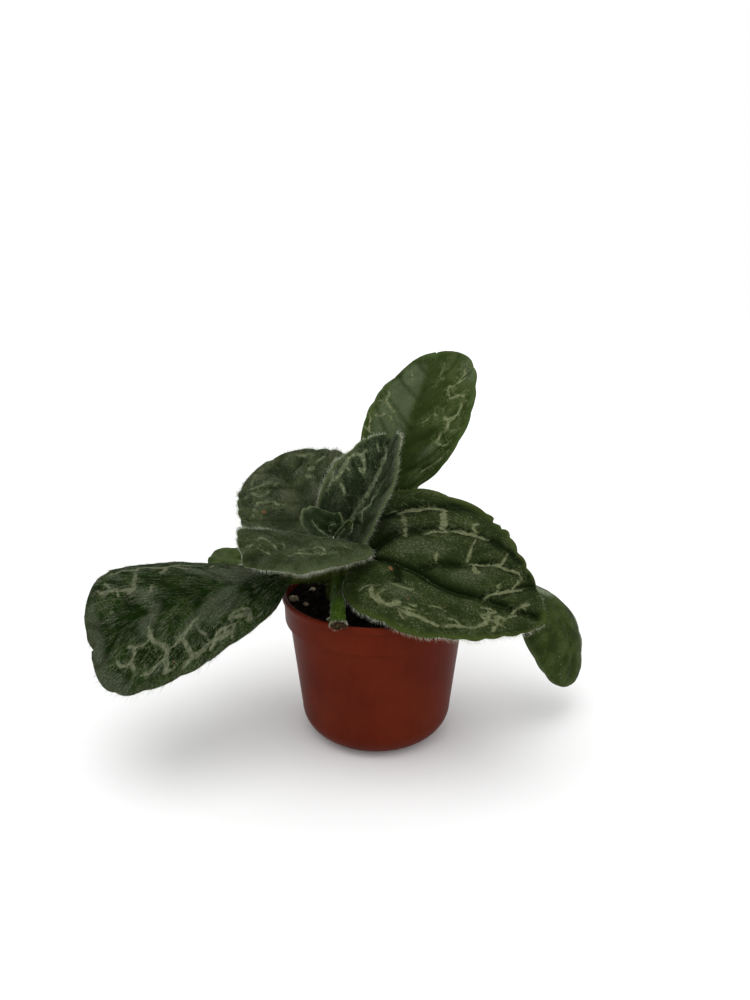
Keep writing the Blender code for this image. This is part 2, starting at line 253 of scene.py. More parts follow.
def acrossBlade(leaf, u, v):
    swell = np.sin(pi * np.clip(u, 0, 1) ** (log(0.5) / np.log(sided(v, leaf["widest"]))))
    least = 0.03 + sided(v, leaf["foot"]) * (1 - ease(4 * u))
    full = np.maximum(np.maximum(swell, 1e-4) ** graded(u, v, leaf["roundOff"]), least)
    return np.abs(v) * sided(v, leaf["width"]) * full


def leafPoints(leaf, u, v, relief):
    line, lengths = bladeLine(leaf)
    right = v > 0
    out = np.abs(v)
    half = sided(v, leaf["width"])
    teeth = leaf["tooth"] * (np.abs(np.sin(pi * leaf["teeth"] * u + 0.9 * right)) ** 0.9 - 0.5)
    teeth *= out ** 5 * ease(6 * u) * ease(6 - 6 * u)
    across = acrossBlade(leaf, u, v) * (1 + teeth)
    # rows of the blade sweep forward, the tip leads or trails, and lobes reach back past the foot
    forward = lengths[-1] * (u + 0.12 * out ** 1.4 * np.sin(pi * np.clip(u, 0, 1)) * (1 - 0.35 * u))
    forward += half * teeth * ease(1.5 * u) + sided(v, leaf["tipLead"]) * u ** 4 * (across / half) ** 2
    forward -= sided(v, leaf["lobe"]) * (1 - u) ** 4 * out ** leaf["lobeBend"]
    place, ahead = onLine(line, lengths, forward)
    t = ease(u)[..., None]
    up = squared(np.array(leaf["face"][0]) * (1 - t) + np.array(leaf["face"][1]) * t, ahead)
    side = np.cross(ahead, up) * sided(v, (-1, 1))[..., None]
    # each half is folded at the midrib and rolled outwards from there
    start = np.radians(graded(u, v, leaf["fold"]))
    bend = np.radians(graded(u, v, leaf["curl"])) / half
    angle = start + bend * across
    outward = (np.sin(angle) - np.sin(start)) / bend
    rise = (np.cos(start) - np.cos(angle)) / bend
    # fields between the side veins stand up, the midrib lies in a groove, and the edge waves
    pillow = np.abs(np.sin(pi * leaf["veins"] * u + 0.8 * right)) ** 0.6 - 0.5
    lift = leaf["quilt"] * pillow * np.sin(pi * out ** 0.8) ** 0.6
    lift -= 0.5 * np.exp(-(across / 1.3) ** 2)
    wave = leaf["wave"] * np.sin(2 * pi * leaf["waves"] * u + 1.7 * right)
    lift += wave * out ** 3 * ease(4 * u) * ease(4 - 4 * u) + relief
    outward -= np.sin(angle) * lift
    rise += np.cos(angle) * lift
    return place + outward[..., None] * side + rise[..., None] * up


def flatSpot(leaf, u, v):
    reach = bladeLine(leaf)[1][-1]
    return np.stack([reach * u, np.sign(v) * acrossBlade(leaf, u, v)], axis=-1)


def gapTo(leaf, u, v, strokes):  # how far it is to the nearest stroke, in millimetres on the flat blade
    spots = flatSpot(leaf, u, v)
    nearest = np.full(len(spots), 9.0)
    for wide, points in strokes:
        line = smoothLine([(a, b, 0) for a, b in points], 6)[:, :2]
        line = flatSpot(leaf, line[:, 0], line[:, 1])
        taper = 1 - 0.55 * np.abs(np.linspace(-1, 1, len(line))) ** 3
        for a, b, thick in zip(line, line[1:], taper):
            step = b - a
            t = np.clip(((spots - a) @ step) / max(step @ step, 1e-6), 0, 1)
            gap = np.linalg.norm(spots - a - t[:, None] * step, axis=1) - 0.5 * wide * thick
            nearest = np.minimum(nearest, gap)
    return nearest


def strokesOf(leaf, kind):
    return [(wide, [(u / 100, v / 100) for u, v in points]) for wide, *points in leaf.get(kind, ())]


def ribsOf(leaf):  # strokes read from the leaf, or else evenly spaced side veins
    veins = strokesOf(leaf, "ribs")
    if veins:
        return veins
    for sign in (-1, 1):
        for i in range(leaf["veins"]):
            u = (i + 0.3 + 0.2 * sign) / leaf["veins"]
            if u > 0.04:
                points = [(u, 0.02), (u + 0.05, 0.3), (u + 0.11, 0.6), (u + 0.19, 0.88)]
                veins.append((0.3, [(along, out * sign) for along, out in points]))
    return veins


def reliefAt(leaf, u, v):
    pale = gapTo(leaf, u, v, strokesOf(leaf, "pale"))
    ribs = gapTo(leaf, u, v, ribsOf(leaf))
    near = np.maximum(np.minimum(pale, ribs), 0)
    grain = np.array([noise.noise(Vector((a * 0.55, b * 0.55, 3.0))) for a, b in flatSpot(leaf, u, v)])
    raised = (1 - np.exp(-near / leaf["swell"])) * (1 - np.abs(v) ** 8)
    return leaf["puff"] * (raised - 0.6) + 0.12 * grain, pale, ribs


def makeBlade(form, leaf):
    bmesh.ops.create_grid(form, x_segments=leaf["grid"][0], y_segments=leaf["grid"][1], size=0.5)
    flat = np.array([vertex.co for vertex in form.verts])
    rows = flat[:, 0] + 0.5
    u = 0.4 * rows + 0.3 * (1 - np.cos(pi * rows))  # rows lie closer at foot and tip
    v = -2 * flat[:, 1]
    relief, pale, ribs = reliefAt(leaf, u, v)
    shaped = leafPoints(leaf, u, v, relief)
    spots = flatSpot(leaf, u, v)
    edgeward = np.maximum(np.abs(v), 2 * u - 1)
    gaps = {"paleGap": pale, "ribGap": ribs, "edgeward": edgeward, "topSide": np.ones(len(u))}
    # light strokes hold painted sheen and highlights, dark strokes painted shade, and brown strokes the torn
    # brown edges
    for kind in ("light", "dark", "brown"):
        gaps[kind + "Gap"] = gapTo(leaf, u, v, strokesOf(leaf, kind))
    layers = {key: form.verts.layers.float.new(key) for key in gaps}
    uvs = form.loops.layers.uv.new("blade")
    for i, vertex in enumerate(form.verts):
        vertex.co = mm * Vector(shaped[i])
        for key, layer in layers.items():
            vertex[layer] = gaps[key][i]
        for loop in vertex.link_loops:
            loop[uvs].uv = mm * Vector(spots[i])


def stalkLine(leaf, knots):  # the stalk runs on under the blade as its midrib
    line = smoothLine(leaf["path"])
    lengths = lengthsAlong(line)
    foot = lengths[lineSteps * leaf["bladeFrom"]]
    reach = lengths[-1] - foot
    stops = np.linspace(0, foot + 0.9 * reach, knots)
    places, ahead = onLine(line, lengths, stops)
    t = ease((stops - foot) / reach)
    thinning = np.clip((stops - 0.6 * foot) / (lengths[-1] - 0.6 * foot), 0, 1) ** 0.6
    radii = leaf["stalk"] * (1 - 0.8 * thinning)
    up = squared(np.outer(1 - t, leaf["face"][0]) + np.outer(t, leaf["face"][1]), ahead)
    sunk = ease((stops - foot) / (0.12 * reach) + leaf["sink"])
    return places - up * (0.5 + 0.5 * radii + sunk * (0.5 * radii + 0.6 * leaf["puff"]))[:, None], radii


def barMesh(name, points, radii):
    curve = bpy.data.curves.new(name, "CURVE")
    curve.dimensions = "3D"
    curve.bevel_depth = mm
    curve.bevel_resolution = 4
    curve.use_fill_caps = True
    spline = curve.splines.new("POLY")
    spline.points.add(len(points) - 1)
    for knot, point, radius in zip(spline.points, points, radii):
        knot.co = (*(mm * Vector(point)), 1)
        knot.radius = radius
    draft = link(bpy.data.objects.new(name, curve))
    mesh = finalMesh(draft)
    bpy.data.objects.remove(draft)
    form = bmesh.new()
    form.from_mesh(mesh)
    bmesh.ops.remove_doubles(form, verts=form.verts, dist=0.01 * mm)
    return meshFrom(form, name)


# Hairs: one tapered spike, set many times

def hairSpike(curved):
    form = bmesh.new()
    bmesh.ops.create_cone(form, cap_ends=True, segments=3, radius1=1, radius2=0, depth=1,
                          matrix=Matrix.Translation((0, 0, 0.5)))
    if curved:
        bmesh.ops.bisect_plane(form, geom=form.verts[:] + form.edges[:] + form.faces[:],
                               plane_co=(0, 0, 0.5), plane_no=(0, 0, 1))
    form.verts.index_update()
    corners = np.array([vertex.co for vertex in form.verts])
    faces = [[vertex.index for vertex in face.verts] for face in form.faces]
    form.free()
    return corners, faces


def hairMesh(name, roots, leans, droops, lengths, thick, curved):
    corners, faces = hairSpike(curved)
    leans = unit(leans)
    across = unit(np.cross(leans, droops + 1e-4))
    over = np.cross(leans, across)
    height = corners[:, 2]
    fat = corners[:, :2] * thick
    spots = (roots[:, None] + leans[:, None] * (lengths[:, None] * (height - 0.04))[..., None]
             + droops[:, None] * (lengths[:, None] * height ** 2)[..., None]
             + across[:, None] * fat[None, :, :1] + over[:, None] * fat[None, :, 1:])
    count = len(corners)
    everyFace = [[corner + i * count for corner in face] for i in range(len(roots)) for face in faces]
    mesh = bpy.data.meshes.new(name)
    mesh.from_pydata((mm * spots.reshape(-1, 3)).tolist(), [], everyFace)
    for polygon in mesh.polygons:
        polygon.use_smooth = True
    return mesh


def bladeFrame(leaf, u, v):  # where a hair stands, and which ways are forward, edgeward and up there
    relief = reliefAt(leaf, u, v)[0]
    here = leafPoints(leaf, u, v, relief)
    ahead = leafPoints(leaf, np.clip(u + 0.01, 0, 1), v, relief)
    behind = leafPoints(leaf, np.clip(u - 0.01, 0, 1), v, relief)
    forward = unit(ahead - behind)
    edgeward = unit(here - leafPoints(leaf, u, v + sided(v, (0.01, -0.01)), relief))
    up = unit(np.cross(forward, edgeward) * sided(v, (1, -1))[:, None])
    return here, forward, edgeward, up


def makeHairs(name, leaf, hairs, seed, finish):
    rng = np.random.default_rng(seed)
    drawn = rng.random((5 * hairs["count"], 3))
    u = drawn[:, 0]
    v = 2 * drawn[:, 1] - 1
    wide = acrossBlade(leaf, u, v) / np.abs(v) / max(leaf["width"])
    tufts = np.array([noise.noise(Vector((a * 0.4, b * 0.4, 7.0))) for a, b in flatSpot(leaf, u, v)])
    kept = drawn[:, 2] < wide * (0.6 + hairs["tufted"] * tufts)
    u, v = u[kept], v[kept]
    valleys = gapTo(leaf, u, v, ribsOf(leaf)) < leaf["swell"] * rng.random(len(u))
    u, v = u[~valleys][:hairs["count"]], v[~valleys][:hairs["count"]]
    place, forward, edgeward, up = bladeFrame(leaf, u, v)
    jitter = rng.normal(0, hairs["stray"], place.shape)
    fan = sided(v, hairs["fan"]) * np.abs(v) ** 0.5
    leans = hairs["upright"] * up + fan[:, None] * edgeward + hairs["forward"] * forward + jitter
    lengths = hairs["long"] * rng.uniform(0.5, 1.2, len(u))
    droops = hairs["droop"] * (edgeward - 0.3 * up) + 0.4 * jitter
    surface = hairMesh(name, place, leans, droops, lengths, hairs["thick"], hairs["curved"])
    addPiece(name, surface, [finish])

    u = rng.random(hairs["rim"])
    v = np.where(rng.random(hairs["rim"]) < hairs["rimRight"], 1, -1) * rng.uniform(0.98, 1, hairs["rim"])
    place, forward, edgeward, up = bladeFrame(leaf, u, v)
    rise = sided(v, hairs["rimUp"])[:, None]
    leans = edgeward + rise * up + 0.25 * forward + rng.normal(0, 0.3, place.shape)
    lengths = hairs["rimLong"] * rng.uniform(0.4, 1.2, hairs["rim"])
    fringe = hairMesh(name + "Rim", place - 0.1 * up, leans, 0.2 * forward - 0.15 * up, lengths,
                      hairs["rimThick"], True)
    addPiece(name + "Rim", fringe, [hairWhite])


def stalkHairs(name, line, radii, hairs, seed):
    rng = np.random.default_rng(seed)
    lengths = lengthsAlong(line)
    stops = lengths[-1] * rng.random(hairs["count"])
    places, ahead = onLine(line, lengths, stops)
    thick = np.interp(stops, lengths, radii)[:, None]
    outward = squared(rng.normal(0, 1, places.shape), ahead)
    leans = outward + hairs["forward"] * ahead + rng.normal(0, 0.3, places.shape)
    reaches = hairs["long"] * rng.uniform(0.4, 1.2, hairs["count"])
    mesh = hairMesh(name, places + 0.97 * thick * outward, leans, 0.2 * ahead, reaches, hairs["thick"], True)
    addPiece(name, mesh, [hairWhite])


# Finishes

def leafFinish(name, look):
    make = Finish(name)
    spot = make.onBlade()
    pale = make.attribute("paleGap")
    ribs = make.attribute("ribGap")
    blotch = make.cloud(spot, 0.16, 3)
    grit = make.cloud(spot, 1.1, 4, 0.65)
    drift = make.cloud(spot, 0.45, 3)
    dots = make.cells(spot, look["dotScale"]).ramp(0.5, 0.2)
    # the raised pillow tops, away from veins and ribs, where a painted highlight goes
    litPillowTops = pale.ramp(0.1, 1.2) * ribs.ramp(0.1, 1.6)

    # pale strokes with ragged edges, barbs and a fine net beside them
    ragged = pale + ((grit - 0.5) * 1.6 + (drift - 0.5) * 1.7) * look["ragged"] + look["thin"]
    barbs = make.cells(spot, 0.6, "DISTANCE_TO_EDGE").ramp(0.09, 0.03) * ragged.ramp(0.9, 0.35)
    faded = make.cloud(spot, 0.5, 3).ramp(0.3, 0.5, (0.45, 1))
    mark = ragged.ramp(0.22, -0.08).most(barbs * 0.3) * faded * look["paleness"]
    net = make.cells(spot, 0.75, "DISTANCE_TO_EDGE").ramp(0.1, 0.01) * pale.ramp(3.5, 0.8)
    net = net * make.cloud(spot, 0.35, 2).ramp(0.44, 0.56)

    # painted sheen and highlights: the light strokes lighten the blade towards a pale grey-green, partly
    # also the grey of dense hairs
    light = make.attribute("lightGap").ramp(2.5, -0.5) * (dots * 0.5 + 0.5)
    # pale hair-base stipple, made lighter on the raised pillow tops as a painted highlight
    stipple = dots * litPillowTops * (drift + (blotch - 0.5)).ramp(0.4, 0.62)
    fleck = make.cells(spot, 0.42).ramp(0.11, 0.07) * grit.ramp(0.42, 0.5)
    worn = (make.attribute("brownGap") + (grit - 0.5) * 0.8).ramp(0.5, 0.0)
    speck = make.cells(spot, 0.11).ramp(0.045, 0.02)
    green = make.mix((blotch + (grit - 0.5) * 0.4).ramp(0.36, 0.64), look["deep"], look["green"])
    layers = [  # each lies over those before it
        (light * look["lightness"], look["bloom"]),
        (stipple * look["stipple"], look["bloom"]),
        # painted shade: the dark strokes darken the shaded sides of pillows and of blade halves turned away
        # from the light
        (make.attribute("darkGap").ramp(2.5, -0.5) * 0.8, look["deep"]),
        # painted shade in the small pits between the hair-tipped papillae
        ((1 - dots) * look["grain"], look["shade"]),
        # painted shade in the valleys along the side veins
        (ribs.ramp(look["valley"], 0.0) * look["creases"], look["shade"]),
        (make.attribute("edgeward").ramp(0.88, 1.0) * look["rimness"], look["rim"]),
        (net * look["netness"], look["dull"]),
        ((ribs + (grit - 0.5) * 0.4).ramp(0.15, -0.1) * look["ribness"], look["rib"]),
        (mark, make.mix(grit.ramp(0.4, 0.6), look["dull"], look["pale"])),
        (fleck * look["flecks"], look["pale"]),
        (worn.most(speck * 0.6), look["speck"]),
        (1 - make.attribute("topSide"), look["under"]),
    ]
    for cover, colour in layers:
        green = make.mix(cover, green, colour)
    height = grit * 0.5 + dots * 0.35 + mark * 0.25
    return make.surface(green, 0.6 + grit * 0.2, look["gloss"], (height, 0.3, 0.9))


def hairFinish(name, dim, colour):
    make = Finish(name)
    tone = make.cloud(make.place(), 0.12, 2)
    base = make.mix((tone + (make.cloud(make.place(), 2.0, 1) - 0.5)).ramp(0.35, 0.65), dim, colour)
    return make.surface(base, 0.7, 0.03)


def stalkFinish(name, green, young, brown, sooty):
    make = Finish(name)
    spot = make.place()
    streak = make.cloud(make.place((1.2, 0.25, 1.2)), 1.2, 4)
    colour = make.mix(streak.ramp(0.3, 0.7), green, young)
    torn = make.mix(make.cloud(spot, 1.6, 4, 0.7).ramp(0.44, 0.56), sooty, brown)
    colour = make.mix(make.attribute("cutEnd").ramp(0.2, 0.8), colour, torn)
    return make.surface(colour, 0.55 + streak * 0.15, 0.05, (make.cloud(spot, 1.6), 0.2, 0.6))


def potFinish(name, look):
    make = Finish(name)
    spot = make.place()
    drift = make.cloud(spot, 0.05, 3)
    swirl = make.cloud(make.place((1, 1, 0.2)), 0.5, 4)
    colour = make.mix(drift.ramp(0.3, 0.7), look["dark"], look["red"])
    colour = make.mix(swirl.ramp(0.45, 0.75) * 0.2, colour, look["light"])
    dirt = make.cells(spot, 0.16).ramp(0.09, 0.05) * make.cloud(spot, 0.3, 1).ramp(0.45, 0.6)
    colour = make.mix(dirt * 0.85, colour, look["dirt"])
    dust = make.cloud(spot, 1.5, 5, 0.7).ramp(0.62, 0.75) * 0.2
    colour = make.mix(dust, colour, look["dust"])
    roughness = 0.36 + drift * 0.12 + dust * 0.3
    return make.surface(colour, roughness, 0.04, (make.cloud(spot, 3.0, 3), 0.03, 0.5))


def soilFinish(name, look):
    make = Finish(name)
    spot = make.place()
    lump = make.cloud(spot, 0.45, 5, 0.7)
    colour = make.mix(lump.ramp(0.35, 0.7), look["dark"], look["brown"])
    fleck = make.cells(spot, 0.7).ramp(0.22, 0.12) * make.cloud(spot, 0.5, 2).ramp(0.55, 0.65)
    colour = make.mix(fleck * 0.7, colour, look["fleck"])
    return make.surface(colour, 0.85 + lump * 0.1, 0.03, (lump, 0.8, 1.0))


def gritFinish(name, light, dark):
    make = Finish(name)
    tone = make.cloud(make.place(), 0.9, 4, 0.7)
    colour = make.mix(tone.ramp(0.35, 0.65), dark, light)
    return make.surface(colour, 0.8, 0.1, (tone, 0.4, 0.9))


leafTones = dict(
    deep=paint(15, 34, 2), green=paint(34, 56, 6), pale=paint(122, 126, 102), dull=paint(90, 97, 72),
    rib=paint(52, 66, 30), rim=paint(64, 70, 46), under=paint(66, 80, 44), bloom=paint(100, 105, 86),
    shade=paint(10, 20, 2), speck=paint(122, 88, 58), paleness=1.0, ribness=0.3, netness=0.7, rimness=0.4,
    creases=0.4, valley=1.3, stipple=0.6, lightness=0.9, flecks=0.2, dotScale=2.3, grain=0.35, ragged=1.0,
    thin=0.08, gloss=0.03)
broadTones = dict(
    leafTones, deep=paint(44, 56, 24), green=paint(61, 72, 35), pale=paint(124, 128, 97),
    dull=paint(96, 104, 70), rim=paint(76, 90, 38), bloom=paint(96, 104, 78), ribness=0.35, netness=0.35,
    rimness=0.55, creases=0.95, valley=2.6, stipple=0.8, lightness=0.8, dotScale=1.9, grain=0.4)
upperTones = dict(
    leafTones, deep=paint(46, 59, 21), green=paint(70, 84, 44), pale=paint(140, 146, 110),
    dull=paint(104, 114, 76), rim=paint(84, 106, 54), under=paint(80, 100, 52), bloom=paint(98, 110, 84),
    shade=paint(34, 50, 16), creases=0.5, stipple=0.3, lightness=0.85, grain=0.2)
youngTones = dict(
    leafTones, deep=paint(38, 48, 30), green=paint(60, 70, 48), pale=paint(134, 142, 112),
    dull=paint(94, 104, 74), rim=paint(104, 118, 72), ribness=0.25, rimness=0.5, thin=-0.05)
backTones = dict(
    youngTones, deep=paint(48, 57, 35), green=paint(76, 84, 55), pale=paint(112, 119, 92),
    rim=paint(78, 94, 52), bloom=paint(104, 110, 82), netness=0.9, rimness=0.3)
frontTones = dict(
    youngTones, deep=paint(51, 61, 35), green=paint(72, 81, 52), pale=paint(138, 146, 114),
    bloom=paint(84, 94, 66), rimness=0.25, creases=0.25, thin=0.2)
smallTones = dict(
    youngTones, deep=paint(40, 55, 28), green=paint(58, 74, 45), rim=paint(116, 132, 90), netness=0.0,
    rimness=0.6, creases=0.3, stipple=0.2, ragged=0.25, thin=0.0)
budTones = dict(
    smallTones, deep=paint(48, 64, 24), green=paint(72, 88, 42), rim=paint(126, 140, 84), rimness=0.7)
smoothTones = dict(
    leafTones, deep=paint(42, 55, 20), green=paint(60, 74, 30), rim=paint(84, 94, 62),
    bloom=paint(150, 158, 134), paleness=0.1, ribness=0.05, netness=0.0, rimness=0.6, creases=0.1,
    stipple=0.15, lightness=1.0, flecks=0.9, grain=0.1, gloss=0.05)
lowTones = dict(
    smoothTones, deep=paint(50, 66, 27), green=paint(72, 88, 40), rim=paint(96, 108, 70), rimness=0.4,
    lightness=0.15)

hairPale = hairFinish("paleHair", paint(44, 60, 22), paint(112, 120, 96))
hairYoung = hairFinish("youngHair", paint(80, 90, 64), paint(134, 140, 118))
hairWhite = hairFinish("whiteHair", paint(168, 174, 148), paint(220, 224, 204))
sooty = paint(12, 8, 3)
stalkGreen = stalkFinish("greenStalk", paint(46, 58, 16), paint(68, 78, 30), paint(96, 74, 50), sooty)
stubGreen = stalkFinish("stubGreen", paint(34, 54, 6), paint(56, 78, 16), paint(74, 58, 34), sooty)
print("finishes ready")


# Leaves

hairBasics = dict(droop=0.2, stray=0.3, tufted=1.2, rimLong=1.9, rimRight=0.5, rimUp=(0, 0), curved=True)
leafHairs = {
    "streaming": dict(hairBasics, count=3200, long=3.2, thick=0.038, upright=0.14, fan=(0.9, 0.25),
                      forward=1.0, stray=0.08, rim=900, rimLong=1.0, rimThick=0.03),
    "short": dict(hairBasics, count=4200, long=0.7, thick=0.025, upright=0.7, fan=(0.4, 0.4), forward=0.5,
                  tufted=1.3, rim=1100, rimLong=1.7, rimThick=0.022, rimRight=0.85, curved=False),
    "sparse": dict(hairBasics, count=2600, long=0.6, thick=0.028, upright=0.5, fan=(0.5, 0.5), forward=0.5,
                   stray=0.25, tufted=1.0, rim=500, rimLong=0.5, rimThick=0.025, curved=False),
    "woolly": dict(hairBasics, count=2800, long=0.8, thick=0.024, upright=0.8, fan=(0.6, 0.6), forward=0.6,
                   droop=0.3, stray=0.28, tufted=1.1, rim=1500, rimThick=0.02),
    "fringed": dict(hairBasics, count=3000, long=1.4, thick=0.03, upright=1.0, fan=(0.6, 0.6), forward=0.6,
                    droop=0.3, stray=0.28, rim=2300, rimLong=2.0, rimThick=0.018, rimRight=0.6,
                    rimUp=(0, 1.6)),
    "downy": dict(hairBasics, count=4200, long=2.3, thick=0.032, upright=0.5, fan=(0.7, 0.7), forward=0.7,
                  droop=0.3, stray=0.25, tufted=1.3, rim=1400, rimThick=0.02, rimUp=(0.4, 0.8)),
    "small": dict(hairBasics, count=600, long=0.5, thick=0.025, upright=0.8, fan=(0.4, 0.4), forward=0.3,
                  tufted=0.8, rim=260, rimLong=0.6, rimThick=0.018, curved=False),
    "few": dict(hairBasics, count=420, long=0.4, thick=0.035, upright=0.9, fan=(0.4, 0.4), forward=0.3,
                tufted=0.5, rim=120, rimLong=0.4, rimThick=0.03, curved=False),
}
stalkDown = {"count": 380, "long": 1.0, "thick": 0.03, "forward": 0.3}

# Lengths are in millimetres and angles in degrees. A pair is the left half's value and the right half's, and
# of two pairs the first is at the foot. A stroke is its width, then its points as hundredths of u and v.
# Light strokes are painted sheen and highlights, partly the grey of dense hairs, and dark strokes are
# painted shade.
leafBasics = dict(
    bladeFrom=1, foot=(0, 0), lobe=(0, 0), lobeBend=2, tipLead=(0, 0), sink=0, veins=5, quilt=0.7,
    tooth=0.02, wave=0.4, waves=3, swell=1.6, hair=hairPale, slot="leaf_green")

leaves = {}
leaves["leaf_big_left"] = dict(
    leafBasics,
    path=[(-14, 0.5, 53.3), (-25, -4, 54), (-42, -11, 54), (-56, -16, 52), (-72, -23, 46.5),
          (-83.6, -24, 38.6)],
    stalk=2.3, width=(24.1, 26.6), widest=(0.56, 0.34), roundOff=[(0.33, 0.62), (0.41, 0.19)],
    foot=(0.02, 0.02), lobe=(-3.8, -7.2), tipLead=(9, -7), face=[(0, -0.2, 1), (-0.3, -0.5, 0.7)],
    fold=[(-15, -5), (5, 17)], curl=[(-20, -38), (-30, -15)], quilt=0.9, teeth=7, waves=2, puff=0.6,
    grid=(150, 96), finish="grownLeaf", tones=leafTones, hair=hairYoung, hairs="streaming",
    pale=[
        (1.2, (81, 93), (74, 90), (67, 90), (60, 82), (56, 88), (51, 76), (47, 68), (43, 68), (38.5, 60),
         (36, 60)),
        (1.2, (60, 80), (64, 65), (67, 53), (69, 44), (72, 42)), (1.2, (47, 68), (52, 58)),
        (1.4, (89, 80), (85, 66), (81, 62), (77, 57), (72, 50), (68, 40)),
        (1, (81, 62), (81, 70), (83, 80)), (0.8, (77, 57), (78, 46)), (0.8, (61, 38), (63, 27)),
        (0.8, (83, 25), (85, 29)),
        (1.4, (70, -24), (69.5, -40), (68, -47), (66, -52), (64, -57), (63, -65), (63.5, -73), (63, -83),
         (62.5, -88), (60, -87)),
        (1.3, (64, -60), (61, -62), (59, -60), (56, -55), (53, -50), (51, -46), (49, -42), (46, -40)),
        (1.3, (56, -55), (54, -66), (52, -76), (51, -84), (54, -88), (56, -93)),
        (1.2, (51, -84), (48, -83), (44, -80), (40, -79), (37.5, -77), (34.5, -70), (31.5, -70),
         (28.5, -70), (28, -80), (27.5, -90)),
        (0.9, (49, -42), (47, -52), (45.5, -58), (43, -64), (40, -76)),
        (1.2, (70, -40), (72, -45), (76, -45), (76.5, -53), (78, -62), (76, -72)),
        (0.9, (76, -45), (79.5, -38)), (1, (85, -55), (81.5, -64), (78, -62)),
        (1.3, (63.5, -73), (66, -75), (68, -79), (70, -82), (73, -82)),
        (1.2, (28.5, -70), (28, -52), (25, -52), (23.5, -53), (21, -66), (20, -78)),
        (0.9, (17, -78), (15, -78)), (1, (46, 68), (43, 50)), (0.8, (33, 50), (30, 60)),
        (2, (40, -86), (35, -80), (28, -80)), (1.8, (28, -60), (23, -62), (21, -76)),
        (1.7, (56, -57), (54, -67), (52, -79), (51, -84), (46, -83), (41, -82)),
    ],
    light=[
        (2.2, (71, 46), (68, 36), (66, 26), (64, 12)), (1.6, (64, 10), (66, 0), (67, -7), (69, -17)),
        (1.8, (71, -11), (71, -30)), (2.6, (57, -56), (50, -47), (44, -36), (38, -26), (31, -13)),
        (2, (40, -50), (33, -42), (27, -30)), (5, (40, 40), (32, 25), (25, 12), (22, 30)),
        (4, (92, -80), (97, -40), (97, 10), (95, 60)), (3, (80, -96), (93, -90)),
    ],
    dark=[
        (2.4, (45, 12), (55, 10), (62, 14)), (3, (50, 45), (58, 50)), (4, (75, 20), (80, 10), (80, -20)),
        (2, (60, -75), (58, -72)), (2, (68, -68), (72, -62)), (2.4, (12, -20), (18, -30), (20, -10)),
        (1.8, (50, -62), (47, -70)),
    ])
